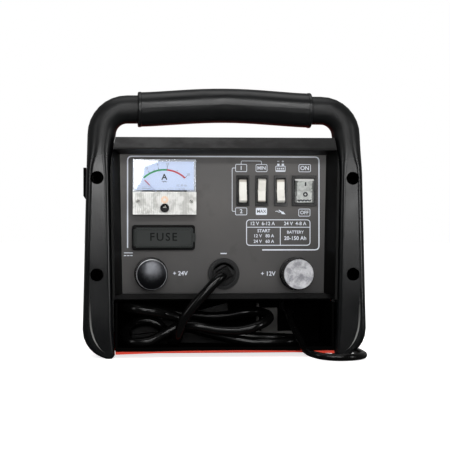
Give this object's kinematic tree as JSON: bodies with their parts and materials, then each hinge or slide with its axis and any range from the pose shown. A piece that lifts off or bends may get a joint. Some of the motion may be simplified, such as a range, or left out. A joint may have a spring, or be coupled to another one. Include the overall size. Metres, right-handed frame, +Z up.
{
  "type": "car battery charger",
  "caption": "Portable battery charger: steel case, arched plastic front with carry handle, recessed panel with meter, fuse, rockers and screw terminals, open cable bay.",
  "frame": {"origin": "middle of the charger's footprint on the floor, free cords left out", "axes": "+X right seen from the front, -Y towards the front, +Z up"},
  "size_m": [0.2854, 0.3731, 0.2707],
  "materials": {
    "frame_plastic": "satin",
    "grip_rubber": "matt",
    "bezel_plastic": "satin",
    "panel": "satin",
    "red_paint": "gloss",
    "rear_plastic": "matt",
    "tray_plastic": "matt",
    "grey_steel": "matt",
    "rubber": "matt",
    "dark_screw": "satin",
    "screw": "satin",
    "meter_plastic": "gloss",
    "dial": "satin",
    "movement": "satin",
    "needle": "satin",
    "lens": "clear",
    "ribbed_cover": "satin",
    "black_gloss": "gloss",
    "fuse_metal": "satin",
    "brass": "satin",
    "fuse_lid": "satin",
    "cream": "gloss",
    "grey_lens": "gloss",
    "knob_plastic": "gloss",
    "dark_cap": "gloss",
    "silver_cap": "brushed",
    "gland_plastic": "satin",
    "lead_jacket": "gloss",
    "clamp_plastic": "satin",
    "steel": "satin",
    "core_steel": "matt",
    "copper": "satin",
    "aluminium": "satin",
    "wire": "satin"
  },
  "bodies": {
    "case": {"front_frame": "frame_plastic", "handle_grip": "grip_rubber", "front_bezel": "bezel_plastic", "control_panel": "panel", "steel_cover": "red_paint", "base_plate": "red_paint", "rear_cover": "rear_plastic", "storage_tray": "tray_plastic", "gland_plate": "grey_steel", "clamp_rests": "frame_plastic", "rear_feet": "rubber", "frame_screws": "dark_screw", "case_screws": "screw", "rear_screws": "screw", "meter_housing": "meter_plastic", "meter_dial": "dial", "meter_movement": "movement", "meter_lens": "lens", "meter_lower_cover": "ribbed_cover", "meter_screws": "screw", "fuse_box": "black_gloss", "fuse_strip": "fuse_metal", "fuse_screws": "brass", "narrow_switch_bodies": "black_gloss", "power_switch_body": "black_gloss", "terminal_collars": "black_gloss", "terminal_studs": "brass", "terminal_nuts": "brass", "lead_gland": "gland_plastic", "strain_relief": "black_gloss", "negative_lead": "lead_jacket", "clamp_lower_jaw": "clamp_plastic", "clamp_pin": "steel", "clamp_spring": "steel", "mains_gland": "gland_plastic", "mains_lead": "lead_jacket", "mains_coil": "lead_jacket", "mains_plug": "black_gloss", "plug_pins": "brass", "transformer_core": "core_steel", "transformer_windings": "copper", "transformer_bracket": "steel", "transformer_bolts": "steel", "rectifier_heatsink": "aluminium", "rectifier_diodes": "steel", "thermal_cutout": "black_gloss", "busbars": "copper", "supply_wires": "wire"},
    "fuse_cover": {"fuse_cover": "fuse_lid"},
    "voltage_rocker": {"voltage_rocker": "cream"},
    "current_rocker": {"current_rocker": "cream"},
    "mode_rocker": {"mode_rocker": "cream"},
    "power_rocker": {"power_rocker": "grey_lens"},
    "knob_24v": {"knob_24v": "knob_plastic", "knob_cap_24v": "dark_cap"},
    "knob_12v": {"knob_12v": "knob_plastic", "knob_cap_12v": "silver_cap"},
    "meter_needle": {"meter_needle": "needle"},
    "zero_adjuster": {"zero_adjuster": "black_gloss"},
    "clamp_upper_jaw": {"clamp_upper_jaw": "clamp_plastic"}
  },
  "joints": [
    {"name": "fuse_cover_hinge", "type": "hinge", "parent": "case", "child": "fuse_cover", "pos_m": [-0.0907, -0.0909, 0.1202], "axis": [0, 0, -1], "range_deg": [0, 110]},
    {"name": "voltage_rocker_tilt", "type": "hinge", "parent": "case", "child": "voltage_rocker", "pos_m": [0.0196, -0.0845, 0.168], "axis": [1, 0, 0], "range_deg": [0, 22]},
    {"name": "current_rocker_tilt", "type": "hinge", "parent": "case", "child": "current_rocker", "pos_m": [0.039, -0.0845, 0.168], "axis": [-1, 0, 0], "range_deg": [0, 22]},
    {"name": "mode_rocker_tilt", "type": "hinge", "parent": "case", "child": "mode_rocker", "pos_m": [0.0584, -0.0845, 0.168], "axis": [1, 0, 0], "range_deg": [0, 22]},
    {"name": "power_rocker_tilt", "type": "hinge", "parent": "case", "child": "power_rocker", "pos_m": [0.0826, -0.0845, 0.168], "axis": [-1, 0, 0], "range_deg": [0, 22]},
    {"name": "knob_24v_turn", "type": "hinge", "parent": "case", "child": "knob_24v", "pos_m": [-0.074, -0.1, 0.0835], "axis": [0, -1, 0], "range_deg": [0, 1080]},
    {"name": "knob_12v_turn", "type": "hinge", "parent": "case", "child": "knob_12v", "pos_m": [0.074, -0.1, 0.0835], "axis": [0, -1, 0], "range_deg": [0, 1080]},
    {"name": "needle_swing", "type": "hinge", "parent": "case", "child": "meter_needle", "pos_m": [-0.0606, -0.091, 0.1584], "axis": [0, 1, 0], "range_deg": [0, 90], "stiffness_Nm_per_rad": 0.0002},
    {"name": "zero_adjuster_turn", "type": "hinge", "parent": "case", "child": "zero_adjuster", "pos_m": [-0.0606, -0.098, 0.1501], "axis": [0, 1, 0], "range_deg": [-15, 15]},
    {"name": "clamp_jaw_open", "type": "hinge", "parent": "case", "child": "clamp_upper_jaw", "pos_m": [-0.045, -0.0415, 0.02375], "axis": [0, 1, 0], "range_deg": [0, 20], "stiffness_Nm_per_rad": 0.2, "springref_deg": -28.65}
  ]
}
